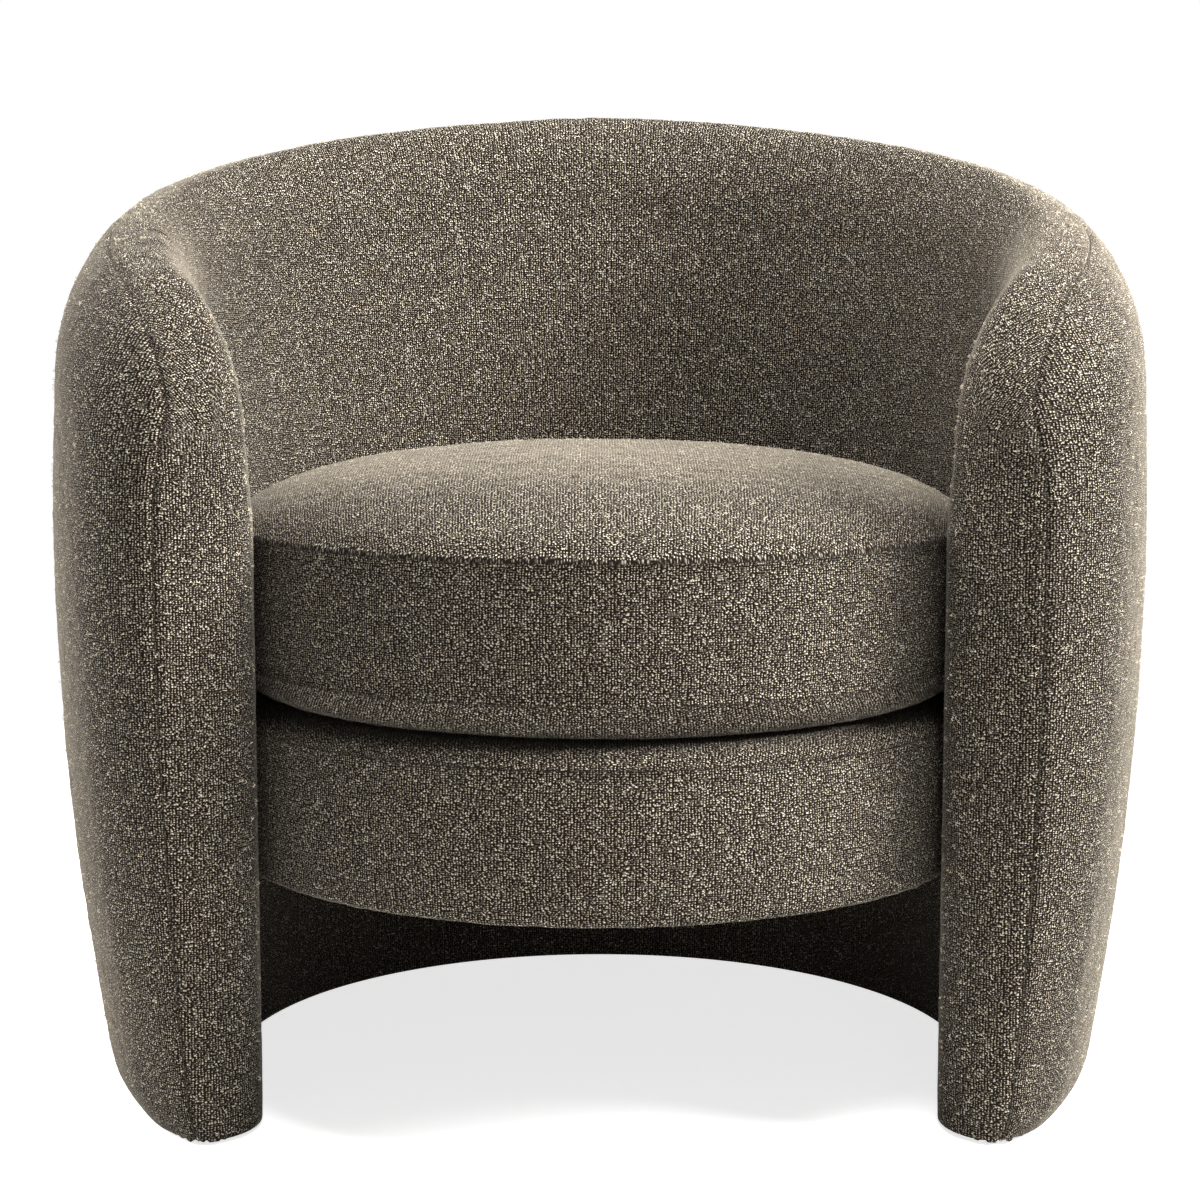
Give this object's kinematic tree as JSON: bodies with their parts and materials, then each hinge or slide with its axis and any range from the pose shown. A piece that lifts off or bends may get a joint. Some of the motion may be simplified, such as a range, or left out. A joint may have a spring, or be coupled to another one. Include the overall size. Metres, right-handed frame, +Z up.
{
  "type": "tub chair",
  "caption": "Upholstered tub chair with a barrel-shaped wall that runs to the floor, a round seat drum and a loose round box cushion.",
  "frame": {"origin": "on the floor under the middle of the chair's plan box", "axes": "+Z up, -Y the way the sitter faces, +X to the viewer's right from the front; the wall, drum and cushion share one vertical axis at y = -61.7 mm"},
  "size_m": [0.828, 0.7028, 0.751],
  "materials": {
    "boucle": "looped boucle, matte",
    "foam": "open-cell upholstery foam",
    "plywood": "sawn birch plywood",
    "hardboard": "smooth hardboard",
    "webbing": "woven elastic webbing",
    "cambric": "thin non-woven dust cloth",
    "nylon": "moulded nylon",
    "steel": "zinc plated"
  },
  "bodies": {
    "tub": {"inside_cover": "boucle", "outside_cover": "boucle", "foam_back": "foam", "foam_arm_left": "foam", "foam_arm_right": "foam", "inner_board": "hardboard", "outer_board": "hardboard", "plinth_ring": "plywood", "plinth_lining": "cambric", "top_rail": "plywood", "seat_rail": "plywood", "rib_1": "plywood", "rib_2": "plywood", "rib_3": "plywood", "rib_4": "plywood", "rib_5": "plywood", "rib_6": "plywood", "rib_7": "plywood", "rib_8": "plywood", "rib_9": "plywood", "arm_post_left": "plywood", "arm_post_right": "plywood", "glide_1": "nylon", "glide_2": "nylon", "glide_3": "nylon", "glide_4": "nylon", "glide_5": "nylon", "glide_6": "nylon", "base_cover": "boucle", "band_foam": "foam", "deck_foam": "foam", "seat_hoop": "plywood", "stretcher_left": "plywood", "stretcher_right": "plywood", "dust_cover": "cambric", "web_long_1": "webbing", "web_cross_1": "webbing", "web_long_2": "webbing", "web_cross_2": "webbing", "web_long_3": "webbing", "web_cross_3": "webbing", "web_long_4": "webbing", "web_cross_4": "webbing", "hoop_bolt_1": "steel", "tee_nut_1": "steel", "hoop_bolt_2": "steel", "tee_nut_2": "steel", "hoop_bolt_3": "steel", "tee_nut_3": "steel", "hoop_bolt_4": "steel", "tee_nut_4": "steel"},
    "cushion": {"cushion_cover": "boucle", "cushion_foam": "foam", "cushion_zip": "nylon"},
    "zip_slider": {"zip_slider": "steel"}
  },
  "joints": [
    {"name": "cushion_lift", "type": "slide", "parent": "tub", "child": "cushion", "axis": [0, 0, 1], "range_m": [0, 0.46]},
    {"name": "zip_run", "type": "hinge", "parent": "cushion", "child": "zip_slider", "pos_m": [0, -0.06169, 0.3788], "axis": [0, 0, 1], "range_deg": [0, 71.6]}
  ]
}
